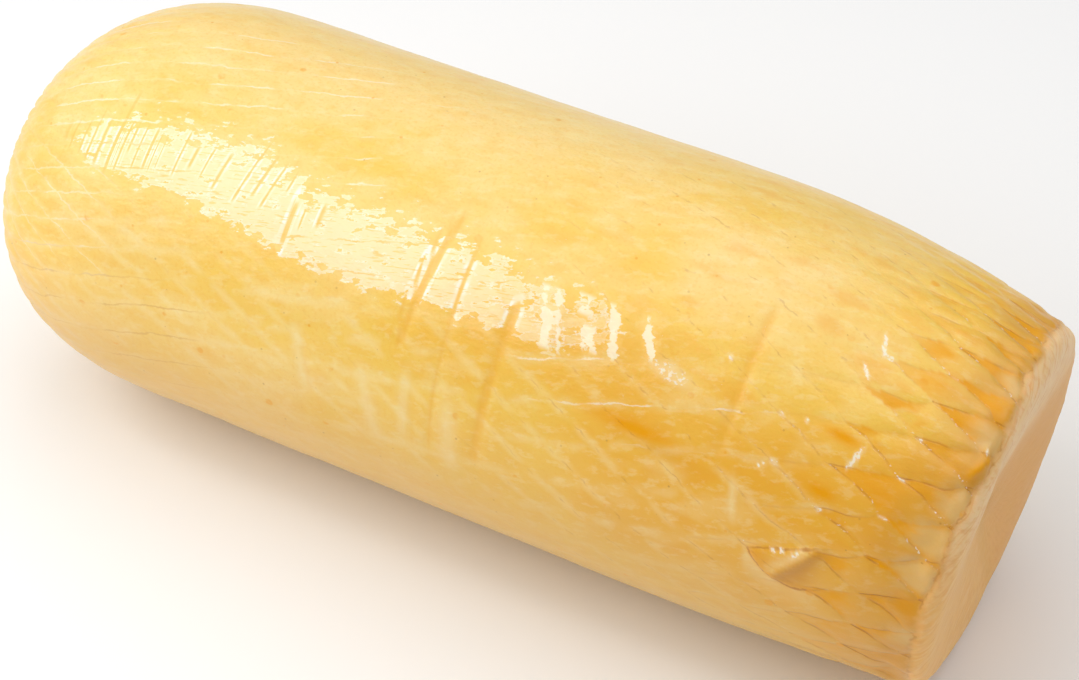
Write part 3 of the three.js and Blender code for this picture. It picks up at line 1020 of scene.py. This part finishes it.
# The finish: waxy, a little translucent, smooth under the film and dull on the face and in the deepest smoke
WAXY, DRY, OILED = 0.40, 0.52, 0.34
SHINE, DULL_SHINE = 0.5, 0.08
COAT, COAT_ROUGHNESS, COAT_IOR = 0.22, 0.09, 1.5
TRANSLUCENT = 0.25
LIGHT_REACH = (1.0, 0.55, 0.2)
LIGHT_DEPTH = 4 * MM
skin = nodes.new("ShaderNodeBsdfPrincipled")
links.new(colour, skin.inputs["Base Color"])
links.new(bump.outputs[0], skin.inputs["Normal"])
bare_roughness = ramp(share_of("pale"), 0.0, 1.0, WAXY, DRY)
feed(skin.inputs["Roughness"], ramp(film_and_highlight, 0.0, 1.0, bare_roughness, OILED))
dull = sum_of("MAXIMUM", on_face, times(sum_of("MAXIMUM", share_of("corner"), share_of("deep")), 0.75))
feed(skin.inputs["Specular IOR Level"], ramp(dull, 0.0, 1.0, SHINE, DULL_SHINE))
skin.inputs["Subsurface Weight"].default_value = TRANSLUCENT
skin.inputs["Subsurface Radius"].default_value = LIGHT_REACH
skin.inputs["Subsurface Scale"].default_value = LIGHT_DEPTH
feed(skin.inputs["Coat Weight"], ramp(dull, 0.0, 1.0, COAT, 0.0))
skin.inputs["Coat Roughness"].default_value = COAT_ROUGHNESS
skin.inputs["Coat IOR"].default_value = COAT_IOR
links.new(bump.outputs[0], skin.inputs["Coat Normal"])
finish = nodes.new("ShaderNodeOutputMaterial")
links.new(skin.outputs[0], finish.inputs[0])
cheese_mesh.materials.append(smoked_skin)

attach(cheese, "root")
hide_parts("scamorza_log")


# The studio: a wide pale floor under the log, one large softbox to the left of the camera, a broad panel
# overhead, and even white light all round. Sizes and places are in metres.
FLOOR_SIZE = 4.0
FLOOR_WHITE = (0.97, 0.97, 0.97, 1)
FLOOR_ROUGHNESS = 0.8
floor_mesh = bpy.data.meshes.new("floor")
floor_build = bmesh.new()
bmesh.ops.create_grid(floor_build, x_segments=1, y_segments=1, size=FLOOR_SIZE)
floor_build.to_mesh(floor_mesh)
floor_build.free()
floor = bpy.data.objects.new("floor", floor_mesh)
bpy.context.scene.collection.objects.link(floor)
pale_floor = bpy.data.materials.new("pale_floor")
pale_floor.use_nodes = True
floor_shader = pale_floor.node_tree.nodes["Principled BSDF"]
floor_shader.inputs["Base Color"].default_value = FLOOR_WHITE
floor_shader.inputs["Roughness"].default_value = FLOOR_ROUGHNESS
floor_mesh.materials.append(pale_floor)

# The lights and the camera are placed from the middle of the log's axis
AXIS_SHIFT = 0.5
axis_middle = Vector((AXIS_SHIFT - middle[0], -middle[1], AXIS_HEIGHT)) * MM

KEY_PLACE = Vector((-0.440, -0.348, 0.532))
KEY_ACROSS = Vector((0.844, -0.319, 0.429)).normalized()
KEY_RISE = Vector((0.0, 0.827, 0.563))
KEY_SIZE = (0.64, 0.57)
KEY_POWER = 3.4
key_up = (KEY_RISE - KEY_ACROSS * KEY_RISE.dot(KEY_ACROSS)).normalized()
key_light = bpy.data.lights.new("key_softbox", "AREA")
key_light.shape = "RECTANGLE"
key_light.size, key_light.size_y = KEY_SIZE
key_light.energy = KEY_POWER
key = bpy.data.objects.new("key_softbox", key_light)
key_turn = Matrix((KEY_ACROSS, key_up, KEY_ACROSS.cross(key_up))).transposed().to_4x4()
key.matrix_world = Matrix.Translation(axis_middle + KEY_PLACE) @ key_turn
bpy.context.scene.collection.objects.link(key)

TOP_PLACE = Vector((0.25, 0.38, 1.2))
TOP_SIZE = 1.6
TOP_POWER = 9.6
top_light = bpy.data.lights.new("top_panel", "AREA")
top_light.shape = "SQUARE"
top_light.size = TOP_SIZE
top_light.energy = TOP_POWER
top_panel = bpy.data.objects.new("top_panel", top_light)
top_panel.location = axis_middle + TOP_PLACE
bpy.context.scene.collection.objects.link(top_panel)

ROOM_WHITE = (1, 1, 1, 1)
ROOM_STRENGTH = 0.36
studio = bpy.data.worlds.new("studio")
studio.use_nodes = True
room = studio.node_tree.nodes["Background"]
room.inputs["Color"].default_value = ROOM_WHITE
room.inputs["Strength"].default_value = ROOM_STRENGTH
bpy.context.scene.world = studio
bpy.context.scene.view_settings.view_transform = "Standard"


# The camera: above the front of the log and a little to the right, with a short telephoto lens. Its distance
# and its shifts sideways and upwards are in millimetres from the middle of the log's axis.
AZIMUTH = math.radians(28.01)
ELEVATION = math.radians(44.72)
EYE_DISTANCE = 659.3
EYE_SIDE = 9.11
EYE_RISE = -9.23
FOCAL_PIXELS = 2331.4
IMAGE_WIDTH = 1079
SENSOR_WIDTH = 36
NEAREST_SEEN = 0.01
back = Vector((
    math.sin(AZIMUTH) * math.cos(ELEVATION),
    -math.cos(AZIMUTH) * math.cos(ELEVATION),
    math.sin(ELEVATION),
))
right = Vector((math.cos(AZIMUTH), math.sin(AZIMUTH), 0))
up = back.cross(right)
lens = bpy.data.cameras.new("camera")
lens.sensor_fit = "HORIZONTAL"
lens.sensor_width = SENSOR_WIDTH
lens.lens = SENSOR_WIDTH * FOCAL_PIXELS / IMAGE_WIDTH
lens.clip_start = NEAREST_SEEN
camera = bpy.data.objects.new("camera", lens)
eye = axis_middle + (back * EYE_DISTANCE + right * EYE_SIDE + up * EYE_RISE) * MM
camera.matrix_world = Matrix.Translation(eye) @ Matrix((right, up, back)).transposed().to_4x4()
bpy.context.scene.collection.objects.link(camera)
bpy.context.scene.camera = camera
